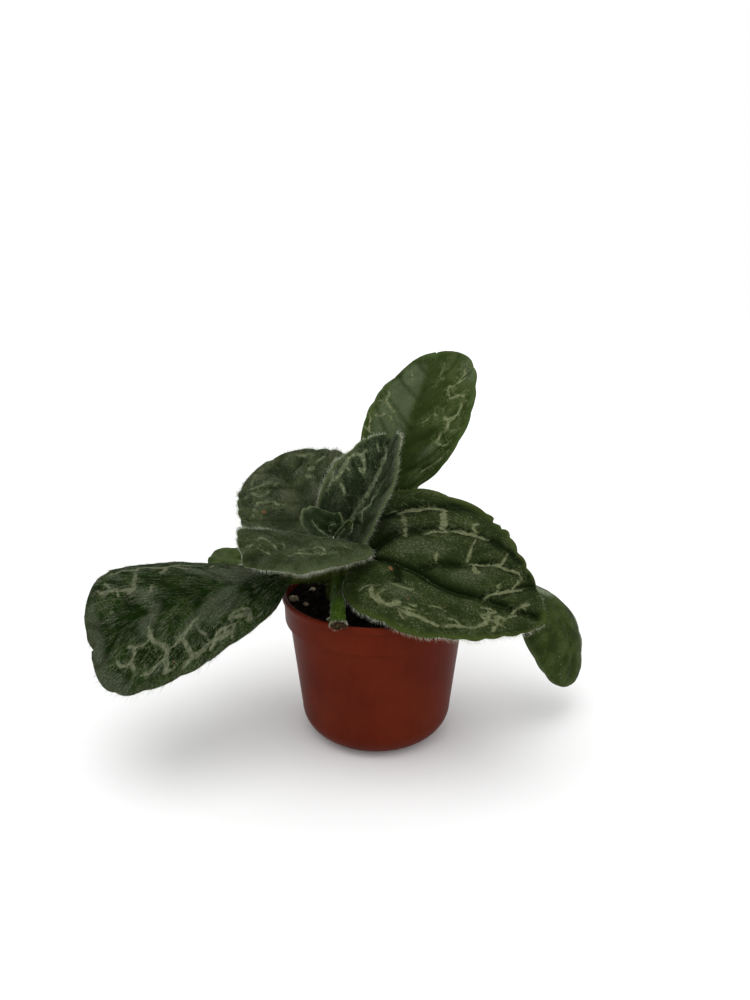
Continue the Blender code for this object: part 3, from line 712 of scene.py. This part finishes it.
leaves["leaf_big_right"] = dict(
    leafBasics,
    path=[(-10.5, -0.5, 54.5), (-0.5, -7.5, 60.5), (10, -13.5, 59.5), (20, -20, 56), (30, -25.5, 55),
          (47.5, -31, 51)],
    stalk=2.1, width=(33.6, 21.2), widest=(0.22, 0.19), roundOff=[(0.31, 0.7), (0.67, 0.63)],
    foot=(0.5, 0.35), lobe=(15, 6.7), lobeBend=0.6, sink=1, tipLead=(-7.5, -5),
    face=[(0.1, -0.33, 0.9), (0.34, -0.5, 0.85)], fold=[(22, 0), (11, 0)], curl=[(-16, -23), (-10, -11)],
    quilt=0.3, teeth=10, tooth=0.024, waves=4, puff=1.5, swell=2.3, grid=(180, 120), finish="broadLeaf",
    tones=broadTones, hairs="short",
    ribs=[
        (0.3, (1, -53), (10, -58), (15, -68), (21, -80), (26, -92), (31, -100)),
        (0.3, (3, -12), (6, -19), (12, -32), (22, -48), (28, -59), (41, -74), (60, -78), (74, -90)),
        (0.3, (28, -4), (36, -22), (49, -36), (60, -52), (74, -65), (84, -89)),
        (0.3, (65, -3), (74, -22), (83, -60), (90, -100)), (0.2, (15, 2), (22, 30)),
        (0.3, (0, 0), (30, 0), (60, 0), (95, 0)),
    ],
    pale=[
        (1, (10, -57), (12, -61), (14, -65), (16, -68), (18, -73), (21, -78)),
        (0.9, (12, -57), (13, -49), (14, -42), (15, -32)),
        (1.3, (22, -78), (23, -68), (24, -63), (25, -54)),
        (0.7, (21, -40), (23, -46), (26, -52), (28, -58)),
        (1.2, (28, -58), (32, -64), (38, -71), (47, -75)),
        (1.2, (37, -71), (40, -60), (44, -46), (46, -38)), (0.8, (37, -72), (32, -74), (32, -83)),
        (1, (48, -37), (56, -44), (62, -53), (69, -59), (74, -68), (78, -72), (79, -61), (78, -43),
         (78, -36)),
        (0.9, (64, -78), (65, -65), (65, -58)), (1.5, (51, -37), (54, -33), (56, -32)),
        (0.8, (70, -32), (71, -22), (71, -18)),
        (0.9, (66, -2), (68, -10), (72, -18), (76, -29), (79, -39), (82, -49)),
        (0.9, (85, -6), (86, -17), (88, -32)), (0.6, (86, -17), (89, -13)),
        (1.4, (12, 55), (13, 63), (15, 68), (20, 72), (25, 72), (28, 69)),
        (0.8, (8, 72), (9, 62), (11, 54), (15, 47)), (1.8, (26, 70), (28, 66), (29, 62)),
        (1.2, (28, 69), (33, 71), (37, 68), (41, 72), (45, 77), (48, 80)),
        (0.8, (30, 69), (34, 63), (37, 62)),
        (1, (48, 80), (55, 74), (60, 75), (66, 68), (69, 56), (70, 33), (69, 23)),
        (0.8, (70, 54), (74, 59), (78, 69)), (0.8, (77, 51), (81, 32), (85, 19)), (0.6, (33, 57), (36, 55)),
        (0.6, (41, 44), (45, 43), (49, 47)),
        (0.9, (66, 23), (71, 19), (67, 48), (72, 51), (75, 38), (79, 52)),
        (0.7, (75, 38), (74, 62), (71, 82)), (0.8, (82, 32), (84, -6), (87, -18), (89, -31)),
        (0.8, (73, -18), (70, -28), (71, -37)), (0.9, (18, 50), (17, 66), (24, 75)),
        (0.7, (18, 37), (25, 36), (31, 32)), (0.8, (33, 80), (30, 72), (28, 64)),
        (0.7, (32, -18), (29, -28)), (0.7, (6, -61), (9, -64)), (0.7, (55, 79), (54, 65), (51, 62)),
    ],
    light=[
        (1.4, (53, -12), (56, -15)), (3, (15, -15), (22, -25), (30, -30)),
        (3, (45, -15), (52, -22), (58, -30)), (2, (10, -30), (14, -42)), (2.5, (20, 45), (30, 45)),
    ],
    dark=[
        (2.2, (20, -2), (30, -5), (45, -5), (60, -4)), (2, (30, -20), (38, -33), (45, -42)),
        (1.6, (5, 30), (5, 55), (8, 80)), (1.4, (67, -8), (72, -12)),
    ],
    brown=[(0.5, (13.5, 13), (14.5, 15))])
leaves["leaf_upper_right"] = dict(
    leafBasics,
    path=[(-11, 1.5, 52.5), (1, 20.4, 63.4), (6.6, 25.4, 77.1), (13, 30.5, 97.4), (21.1, 44.3, 118.2)],
    stalk=2.0, width=(18.5, 21), widest=(0.63, 0.55), roundOff=[(0.12, 0.49), (0.33, 0.41)],
    foot=(0.2, 0.1), lobe=(2.3, -10.3), tipLead=(-5.7, 5.5), face=[(-0.25, -0.74, 0.28), (-0.4, -0.6, 0.4)],
    fold=[(14, 18), (-8, 11)], curl=[(-11, -5), (-8, -10)], veins=6, teeth=7, puff=0.55, grid=(130, 84),
    finish="upperLeaf", tones=upperTones, hairs="sparse",
    pale=[
        (0.68, (83.5, 82), (80, 82), (75.7, 74), (73, 68), (72, 60), (71.8, 52), (68.5, 53), (67, 57)),
        (0.6, (76, 86), (74, 78), (72.5, 70)), (0.38, (66, 87), (66.5, 88)),
        (0.68, (65.5, 57), (65, 64), (65, 72), (64, 80), (60, 86)),
        (0.98, (60, 80), (57.5, 80), (55.5, 79), (53, 74), (52.5, 67), (48.5, 66), (47, 60), (44, 57),
         (43, 57)),
        (0.75, (52.5, 67), (54.5, 59), (55, 56)), (0.45, (47.5, 72), (46.5, 83)),
        (0.9, (40, 81), (40, 73), (41, 66), (42, 60)),
        (0.6, (34.5, 84), (32.5, 82), (29.5, 70), (28, 60), (26, 53)),
        (0.52, (58.5, 36), (57.5, 42), (58, 50)), (0.38, (55, 20), (57, 30)),
        (0.3, (90, 40), (87, 38), (84, 33), (81, 28), (78, 23)),
        (0.38, (89, -55), (86.5, -50), (83, -40), (79, -35)),
        (0.68, (70, -78), (67.5, -73), (62.5, -73), (60, -63), (58, -53), (57, -45)),
        (0.68, (62.5, -73), (61, -80), (58, -95)),
        (0.68, (47.5, -87), (49.5, -70), (53, -60), (52.5, -48), (51, -43)),
        (0.68, (46, -92), (43, -88), (38, -85), (37.5, -75)), (0.6, (37, -100), (38.5, -85)),
    ],
    light=[
        (11, (30, -48), (50, -46), (70, -44), (86, -40)), (3, (72, 97), (85, 93)),
        (2, (38.5, 47), (39, 50)),
    ],
    dark=[
        (5, (20, 14), (45, 14), (65, 14), (85, 12)), (3, (42, 30), (48, 45)), (1.4, (67, 28), (70, 30)),
        (1.4, (68, 65), (67, 68)),
    ])
leaves["leaf_young_upright"] = dict(
    leafBasics,
    path=[(-11, 3, 57), (-10.2, 4.5, 63.5), (0.5, 7, 82.5), (5, 14.1, 94.6)],
    stalk=1.6, width=(14.2, 14.3), widest=(0.35, 0.5), roundOff=[(0.36, 0.12), (0.62, 0.53)], lobe=(0, 6),
    tipLead=(13, 1.1), face=[(-0.3, -0.73, 0.1), (-0.55, -0.7, 0.64)], fold=[(30, 38), (21, 41)],
    curl=[(-8, 6), (-13, 2)], teeth=6, puff=0.7, grid=(110, 76), finish="youngLeaf", tones=youngTones,
    hair=hairYoung, hairs="woolly", slot="young_leaf_green",
    pale=[
        (1.1, (65.5, -83), (67, -73), (68, -63), (64.5, -54), (59.5, -45), (55.5, -38), (55, -50)),
        (0.7, (75, -68), (70, -67)),
        (1, (65.5, -83), (61, -85), (56.5, -86), (48, -80), (38.5, -78), (35, -77), (30, -80), (27, -85),
         (22, -86)),
        (0.8, (33, -92), (30, -90)), (0.6, (31, -65), (30, -55), (27, -47)), (0.6, (45, -83), (46, -68)),
        (0.5, (86, -55), (83, -42), (81, -33)), (0.5, (87, -12), (84, -8)),
        (0.9, (4, 0), (20, -3), (40, -3), (60, -3), (78, -2), (86, 0)),
        (0.8, (22, 5), (27, 20), (34.5, 30), (38.5, 30), (42, 38), (44, 45)),
        (0.6, (27, 22), (22, 33), (20, 45)), (0.6, (6, -12), (10, -20)),
    ],
    light=[(1.2, (15, 93), (40, 93), (60, 92), (80, 90)), (2, (30, -90), (34, -86))],
    dark=[(3, (30, -30), (45, -35)), (2, (65, -20), (75, -30)), (2, (15, -20), (20, -25))])
leaves["leaf_back_left"] = dict(
    leafBasics,
    path=[(-13.5, 2.5, 55), (-17, 7, 61.5), (-25, 16, 71.3), (-35.4, 29.5, 83.4)],
    stalk=1.8, width=(20.9, 24.2), widest=(0.28, 0.27), roundOff=[(0.47, 0.7), (0.22, 0.43)],
    lobe=(2.2, -2.1), tipLead=(-7, -1.1), face=[(0, -0.8, 0.6), (0, -0.68, 0.7)], fold=[(7, 14), (-4, 6)],
    curl=[(11, 10), (5, -4)], teeth=7, puff=0.55, grid=(110, 84), finish="backLeaf", tones=backTones,
    hair=hairYoung, hairs="downy",
    pale=[
        (1, (58, -65), (56, -55), (54, -45), (52, -40), (49, -37), (46, -27)),
        (1, (68, -88), (70, -80), (70, -70), (65, -60), (64, -50), (66, -43)),
        (0.9, (78, -75), (76.5, -52), (76.5, -38), (73, -22)), (0.7, (92, -62), (87, -70), (83, -72)),
        (1.1, (66.5, 43), (63, 50)), (1, (62, 33), (58, 37)),
        (0.9, (92, 65), (87, 65), (83, 70), (80, 80), (77, 78)), (0.9, (68, 65), (66, 73), (66, 80)),
        (0.7, (56, 88), (54, 85)), (0.6, (42, -80), (50, -74), (58, -65)),
    ],
    light=[(3, (55, -6), (42, -12), (36, -20)), (2, (50, 30), (40, 20)), (3, (80, -85), (92, -50))],
    dark=[
        (2, (70, 4), (85, 5)), (4, (40, -50), (30, -35)), (1, (57.5, -33), (57, -31)),
        (1, (53, 38), (52, 40)), (2.5, (45, 15), (50, 20)),
    ],
    brown=[(0.8, (44.5, -60), (44, -61))])
leaves["leaf_young_front"] = dict(
    leafBasics,
    path=[(-13, -0.8, 58), (-10.6, -4.5, 65.3), (-11.9, -5.5, 65.7), (-20.9, -12.5, 68),
          (-30.8, -19.4, 66.5), (-37.7, -23.9, 64.5)],
    bladeFrom=2, stalk=1.4, width=(16.6, 19.2), widest=(0.33, 0.48), roundOff=[(0.29, 0.51), (0.61, 0.96)],
    foot=(0.34, 0.07), lobe=(8, -4.4), tipLead=(-4, 5), face=[(-0.1, -0.05, 0.96), (0, -0.16, 1)],
    fold=[(12, -13), (10.5, 30)], curl=[(-48, 6), (-29, -43)], teeth=6, wave=0.3, puff=0.45, grid=(110, 76),
    finish="frontLeaf", tones=frontTones, hair=hairYoung, hairs="fringed", slot="young_leaf_green",
    pale=[
        (0.8, (61.5, -42), (54, -45), (46, -57), (40, -60), (35, -65), (30, -70), (25, -70)),
        (0.6, (54, -42), (48, -40), (42, -42), (36, -45), (32, -47), (31, -62)),
        (0.5, (15, -50), (12, -60), (10, -70)),
        (0.8, (77, 56), (72, 47), (66, 42), (64, 30), (64, 12), (65, 2)), (0.6, (55, 10), (57, 0)),
        (0.6, (78, 30), (77, 20), (75, 10), (72, 0)), (0.5, (85, 50), (80, 45)),
    ],
    light=[
        (1.5, (6, -90), (20, -95)), (2, (30, -30), (20, -40), (10, -50)),
        (1.5, (75, -90), (60, -93), (40, -93)),
    ],
    dark=[(2, (55, 30), (50, 10)), (2, (80, 0), (85, 15))],
    brown=[(0.6, (29, 68), (27, 57), (26, 50))])
leaves["leaf_young_centre"] = dict(
    leafBasics,
    path=[(-14.2, 1.4, 57), (-14.4, 0.3, 63.8), (-14.3, 0.9, 67.2), (-13.5, 2.7, 71.8)],
    stalk=1.0, width=(11.2, 5.1), widest=(0.51, 0.62), roundOff=[(0.68, 0.6), (0.42, 0.4)], foot=(0, 0.1),
    lobe=(0.4, 0), tipLead=(4.8, 1.7), face=[(0.15, -0.9, 0.4), (0, -0.78, 0.63)],
    fold=[(22, 26), (28, 49)], curl=[(17, 12), (14, 23)], veins=3, quilt=0.3, teeth=4, tooth=0.04, wave=0.2,
    waves=2, puff=0.25, grid=(60, 48), finish="smallLeaf", tones=smallTones, hair=hairYoung, hairs="small",
    slot="young_leaf_green",
    pale=[(0.35, (6, -5), (20, -25), (35, -45), (50, -60)), (0.25, (30, 0), (45, -5), (58, 10), (55, 35))],
    light=[(0.4, (20, -97), (50, -97), (80, -97))],
    dark=[(1.2, (30, -10), (50, -20))])
leaves["leaf_bud"] = dict(
    leafBasics,
    path=[(-11.6, 0.4, 58), (-12.7, -0.9, 63.3), (-10.5, -2.1, 67), (-7.8, -3.1, 70.8)],
    stalk=0.7, width=(1.9, 2.1), widest=(0.5, 0.5), roundOff=[(0.5, 0.5), (0.5, 0.5)], foot=(0, 0.05),
    lobe=(0.5, -0.3), tipLead=(0, -1.4), face=[(0.3, -0.85, 0.3), (0.3, -0.85, 0.3)],
    fold=[(26, -2), (32, 34)], curl=[(22, 4), (22, 19)], veins=3, quilt=0.2, teeth=3, tooth=0.03, wave=0.1,
    waves=2, puff=0.15, grid=(40, 24), finish="budLeaf", tones=budTones, hair=hairYoung, hairs="small",
    slot="young_leaf_green",
    pale=[(0.2, (10, 0), (60, 0))],
    light=[(0.5, (10, 90), (40, 95), (80, 90))])
leaves["leaf_low_left"] = dict(
    leafBasics,
    path=[(-14, 2.5, 49.5), (-28, 10, 51.2), (-42, 17, 50.7), (-57.3, 21.5, 51)],
    stalk=1.3, width=(9, 9.5), widest=(0.55, 0.55), roundOff=[(0.8, 0.8), (0.4, 0.4)],
    face=[(0, 0, 1), (0, -0.2, 1)], fold=[(4, 2), (2, 6)], curl=[(-20, -24), (-25, -28)], veins=4,
    quilt=0.4, teeth=5, wave=0.3, puff=0.2, grid=(60, 32), finish="lowSmoothLeaf", tones=lowTones,
    hairs="few",
    light=[(3, (80, 0), (90, 0))])
leaves["leaf_low_right"] = dict(
    leafBasics,
    path=[(-10, 1.5, 49.5), (15, 5, 50.5), (30, 7, 51), (41, 8, 49), (59.5, 7, 39), (64.5, 1.5, 26),
          (65, 0, 12.5)],
    bladeFrom=3, stalk=1.7, width=(17, 18), widest=(0.58, 0.37), roundOff=[(0.82, 0.55), (0.65, 0.51)],
    lobe=(-5, 15), tipLead=(-0.7, 6), face=[(0.14, -0.06, 0.95), (0.65, -0.62, 0.1)],
    fold=[(-8, -5), (4, -4)], curl=[(-42, -32), (-49, -33)], quilt=0.4, teeth=6, waves=2, puff=0.25,
    grid=(90, 60), finish="oldSmoothLeaf", tones=smoothTones, hairs="few",
    light=[(3, (30, -62), (50, -68), (80, -66)), (2, (20, -10), (30, -20))],
    brown=[(0.7, (8, 95), (20, 98), (30, 97))])
leafMaking = {"thick": 0.3, "knots": 60, "hairyKnots": 34, "firstSeed": 11}


def makeLeaf(name, leaf, seed):
    form = bmesh.new()
    makeBlade(form, leaf)
    finishes = [leafFinish(leaf["finish"], leaf["tones"]), stalkGreen]
    piece = addPiece(name + "_look", meshFrom(form, name), finishes, [name])
    thicken = piece.modifiers.new("thickness", "SOLIDIFY")
    thicken.thickness = leafMaking["thick"] * mm
    thicken.offset = -1
    settle(piece)
    form = bmesh.new()
    form.from_mesh(piece.data)
    topSide = form.verts.layers.float["topSide"]
    form.verts.ensure_lookup_table()
    for vertex in form.verts[len(form.verts) // 2:]:  # the thickness adds the under side as the second half
        vertex[topSide] = 0
    points, radii = stalkLine(leaf, leafMaking["knots"])
    before = len(form.faces)
    form.from_mesh(barMesh(name + "_bar", points, radii))
    form.faces.ensure_lookup_table()
    for face in form.faces[before:]:
        face.material_index = 1
    form.to_mesh(piece.data)
    form.free()
    makeHairs(name + "_hairs", leaf, leafHairs[leaf["hairs"]], seed, leaf["hair"])
    hairy = leafMaking["hairyKnots"]
    stalkHairs(name + "_stalkHairs", points[:hairy], radii[:hairy], stalkDown, seed)
    print("leaf", name, len(piece.data.polygons), "faces")


for i, (name, leaf) in enumerate(leaves.items()):
    makeLeaf(name, leaf, leafMaking["firstSeed"] + i)


# Pot

potSizes = {
    "height": 47.5, "rim": 30.0, "lipHeight": 1.6, "lipWidth": 1.5, "band": 29.3, "bandHeight": 9.0,
    "bodyTop": 27.7, "bodyFoot": 24.4, "corner": 8.5, "wall": 1.0,
    "holes": 6, "holeRadius": 2.2, "holeRing": 10.5, "sides": 120,
}
potTones = {"dark": paint(85, 25, 9), "red": paint(96, 32, 13), "light": paint(102, 40, 23),
            "dirt": paint(40, 18, 12), "dust": paint(120, 84, 70)}


def innerWall(pot):
    wall = pot["wall"]
    inner = pot["corner"] - wall
    shoulder = pot["height"] - pot["bandHeight"]
    bend = [(pot["bodyFoot"] - pot["corner"] + inner * sin(a), pot["corner"] - inner * cos(a))
            for a in np.linspace(0, pi / 2, 9)]
    return [(0, wall), *bend, (pot["bodyTop"] - wall, shoulder - wall),
            (pot["band"] - wall, shoulder + wall),
            (pot["rim"] - pot["lipWidth"], pot["height"] - pot["lipHeight"])]


def makePot(pot):
    top = pot["height"]
    rim = pot["rim"]
    band = pot["band"]
    body = pot["bodyTop"]
    corner = pot["corner"]
    lipFoot = top - pot["lipHeight"]
    shoulder = top - pot["bandHeight"]
    bead = 0.5 * pot["lipWidth"]
    lip = [(rim - bead - bead * cos(a), top - bead + bead * sin(a)) for a in np.linspace(0, pi, 11)]
    under = [(rim, lipFoot), (rim - 0.15, lipFoot - 0.3), (band + 0.05, lipFoot - 0.6)]
    step = [(band - 0.1, shoulder + 0.5), (band - 0.2, shoulder + 0.15), (band - 0.5, shoulder),
            (body + 0.3, shoulder - 0.1), (body + 0.05, shoulder - 0.4), (body, shoulder - 0.8)]
    bend = [(pot["bodyFoot"] - corner * (1 - sin(a)), corner * (1 - cos(a)))
            for a in np.linspace(pi / 2, 0, 13)]
    form = spun([*innerWall(pot), *lip, *under, *step, *bend, (0, 0)], pot["sides"])
    finish = potFinish("satinTerracottaPlastic", potTones)
    shell = addPiece("potShell", meshFrom(form, "potShell"), [finish], ["pot"])
    drills = bmesh.new()
    radius = pot["holeRadius"] * mm
    for i in range(pot["holes"]):
        angle = 2 * pi * i / pot["holes"]
        spot = Matrix.Translation((pot["holeRing"] * mm * cos(angle), pot["holeRing"] * mm * sin(angle), 0))
        bmesh.ops.create_cone(drills, cap_ends=True, segments=32, radius1=radius, radius2=radius,
                              depth=4 * mm, matrix=spot)
    cutter = link(bpy.data.objects.new("drills", meshFrom(drills, "drills")))
    drill = shell.modifiers.new("drain holes", "BOOLEAN")
    drill.operation = "DIFFERENCE"
    drill.solver = "EXACT"
    drill.object = cutter
    settle(shell)
    bpy.data.objects.remove(cutter)
    shell.data.set_sharp_from_angle(angle=radians(40))
    print("pot", len(shell.data.polygons), "faces")


makePot(potSizes)


# Soil with its crumbs and grit

soilTones = {"dark": paint(12, 10, 9), "brown": paint(34, 26, 21), "fleck": paint(72, 56, 42)}
soilSizes = {
    "level": 44.0, "edge": 28.1, "rings": 46, "sides": 110, "lump": 0.7, "rough": 0.55,
    "crumbs": 420, "crumbSpread": 27.0, "crumbSize": (0.35, 1.1), "seed": 5,
}
gritBits = [(-26.3, -1.8, 1.3), (-21, 5, 0.9), (-14.2, -16.3, 0.9), (-22.0, -6.5, 0.7), (-9, -24.5, 0.6),
            (14, 18, 1.3), (6, 22, 1.0), (20, 10, 1.2), (-4, 20, 0.9), (17, -15, 1.1), (-18, 14, 1.0)]


def lumps(x, y):
    broad = sin(0.55 * x + 1.3 * sin(0.31 * y)) * cos(0.47 * y - 0.8 * sin(0.23 * x))
    return broad + 0.5 * sin(1.1 * x - 0.9 * y)


def soilHeight(x, y):
    edge = float(ease(np.hypot(x, y) / soilSizes["edge"] * 4 - 3))
    rough = noise.fractal(Vector((0.5 * x, 0.5 * y, 1.0)), 0.6, 2.2, 5)
    return soilSizes["level"] + (soilSizes["lump"] * lumps(x, y) + soilSizes["rough"] * rough) * (1 - edge)


def makeSoil(soil, pot):
    bottom = pot["wall"] + 0.3
    wall = [(r - 0.3, max(z, bottom)) for r, z in innerWall(pot)[1:-1]]
    rings = [(r, soil["level"]) for r in np.linspace(0, wall[-1][0] + 0.1, soil["rings"])]
    form = spun([*rings, *reversed(wall), (0, bottom)], soil["sides"])
    for vertex in form.verts:
        x, y, z = vertex.co / mm
        if z > soil["level"] - 0.1:
            vertex.co.z = mm * soilHeight(x, y)
    finish = soilFinish("dampPeat", soilTones)
    addPiece("soilBed", meshFrom(form, "soilBed"), [finish], ["soil"])

    rng = np.random.default_rng(soil["seed"])
    form = bmesh.new()
    for i in range(soil["crumbs"]):
        far = soil["crumbSpread"] * np.sqrt(rng.random())
        turn = 2 * pi * rng.random()
        x, y = far * cos(turn), far * sin(turn)
        size = rng.uniform(*soil["crumbSize"])
        spot = Matrix.Translation((x * mm, y * mm, (soilHeight(x, y) + 0.2 * size) * mm))
        squash = Matrix.Diagonal((size, size * rng.uniform(0.6, 1), size * rng.uniform(0.5, 0.9), 1))
        spin = Matrix.Rotation(2 * pi * rng.random(), 4, (rng.random(), rng.random(), rng.random() + 0.1))
        made = bmesh.ops.create_icosphere(form, subdivisions=1, radius=mm, matrix=spot @ spin @ squash)
        for vertex in made["verts"]:
            vertex.co += 0.25 * size * mm * noise.noise_vector(vertex.co * 900)
    addPiece("soilCrumbs", meshFrom(form, "soilCrumbs", False), [finish])
    print("soil ready")


def makeGrit():
    form = bmesh.new()
    for i, (x, y, size) in enumerate(gritBits):
        spot = Matrix.Translation((x * mm, y * mm, (soilHeight(x, y) + 0.45 * size) * mm))
        squash = Matrix.Diagonal((1.3 * size, size, 0.75 * size, 1))
        made = bmesh.ops.create_icosphere(form, subdivisions=3, radius=mm,
                                          matrix=spot @ Matrix.Rotation(0.9 * i, 4, "Z") @ squash)
        for vertex in made["verts"]:
            vertex.co += 0.35 * size * mm * noise.noise_vector(vertex.co * 1100)
    finish = gritFinish("paleGrit", paint(188, 176, 150), paint(130, 112, 88))
    addPiece("gritBits", meshFrom(form, "gritBits"), [finish])


makeSoil(soilSizes, potSizes)
makeGrit()


# Stalk and the stub of the removed leaf

stalkSizes = {"x": -12.0, "y": 1.0, "foot": 33.0, "top": 59.0, "radius": 4.0, "sides": 48,
              "scars": (55, 52, 49, 46)}
cutStalk = {
    "path": [(-12, -1, 49.8), (-11.6, -14, 50.6), (-10.9, -27.8, 51.2), (-10.7, -30.6, 49)],
    "radius": 2.4, "waist": 0.12, "brownEnd": 0.8, "ragged": 1.1,
}


def makeStalk(stalk):
    top = stalk["top"]
    profile = [(0, top), (1.0, top - 0.1), (1.8, top - 0.4), (2.9, top - 1.6)]
    for level in stalk["scars"]:
        thick = stalk["radius"] - 0.06 * (level - 46)
        profile += [(thick - 0.3, level + 1.2), (thick - 0.1, level + 0.5), (thick + 0.15, level),
                    (thick + 0.05, level - 0.4)]
    profile += [(stalk["radius"] - 0.5, stalk["foot"]), (0, stalk["foot"])]
    form = spun(profile, stalk["sides"])
    for vertex in form.verts:
        if vertex.co.xy.length > 1.5 * mm:  # halfway between the two rings at the top
            vertex.co += 0.25 * mm * noise.noise_vector(vertex.co * 260)
    bmesh.ops.translate(form, verts=form.verts, vec=(stalk["x"] * mm, stalk["y"] * mm, 0))
    addPiece("stalk_look", meshFrom(form, "stalk_look"), [stalkGreen], ["stalk"])


def makeCutStalk(cut):
    line = smoothLine(cut["path"], 30)
    radii = cut["radius"] * (1 - cut["waist"] * np.sin(pi * np.linspace(0, 1, len(line))))
    form = bmesh.new()
    form.from_mesh(barMesh("cutStalk", line, radii))
    end = mm * Vector(line[-1])
    ahead = Vector(line[-1] - line[-2]).normalized()
    face = max(form.faces, key=lambda face: face.calc_center_median().dot(ahead))
    for step in range(4):
        bmesh.ops.inset_individual(form, faces=[face], thickness=0.4 * mm)
    cutEnd = form.verts.layers.float.new("cutEnd")
    for vertex in form.verts:
        nearness = min(1, max(0, 1 + (vertex.co - end).dot(ahead) / (cut["brownEnd"] * mm)))
        vertex[cutEnd] = nearness
        vertex.co += cut["ragged"] * mm * nearness * noise.noise(vertex.co * 1400) * ahead
    mesh = meshFrom(form, "cutStalk_look")
    addPiece("cutStalk_look", mesh, [stubGreen], ["cut_leaf_stalk"])
    down = dict(stalkDown, count=300, forward=0.5, long=0.8)
    stalkHairs("cutStalk_hairs", line[20:], radii[20:], down, 3)
    down = dict(stalkDown, count=170, forward=0.9, long=0.9)
    stalkHairs("cutStalk_ring", line[-10:], radii[-10:], down, 4)


makeStalk(stalkSizes)
makeCutStalk(cutStalk)
print("stalk ready")


# Floor, light and camera

def makeStage():
    form = bmesh.new()
    bmesh.ops.create_grid(form, x_segments=1, y_segments=1, size=3)
    floor = link(bpy.data.objects.new("floor", meshFrom(form, "floor")))
    make = Finish("paleFloor")
    floor.data.materials.append(make.surface((0.92, 0.92, 0.92, 1), 0.9, 0.5))


def addLight(name, place, target, spread, power):
    lamp = bpy.data.lights.new(name, "SUN")
    lamp.angle = radians(spread)
    lamp.energy = power
    thing = link(bpy.data.objects.new(name, lamp))
    thing.location = place
    thing.rotation_euler = (Vector(target) - Vector(place)).to_track_quat("-Z", "Y").to_euler()


makeStage()
addLight("softSky", (-0.1, -0.12, 1.0), (0, 0, 0.05), 50, 0.9)
world = bpy.data.worlds.new("studio")
world.use_nodes = True
world.node_tree.nodes["Background"].inputs["Color"].default_value = (1, 1, 1, 1)
world.node_tree.nodes["Background"].inputs["Strength"].default_value = 1.0
bpy.context.scene.world = world
bpy.context.scene.view_settings.view_transform = "Standard"

view = {"place": (-0.0004, -0.22285, 0.1409), "down": 16.06, "lens": 27.0, "sensor": 36.0}
lens = bpy.data.cameras.new("photoCamera")
lens.lens = view["lens"]
lens.sensor_width = view["sensor"]
lens.clip_start = 0.01
camera = link(bpy.data.objects.new("photoCamera", lens))
camera.location = view["place"]
camera.rotation_euler = (radians(90 - view["down"]), 0, 0)
bpy.context.scene.camera = camera
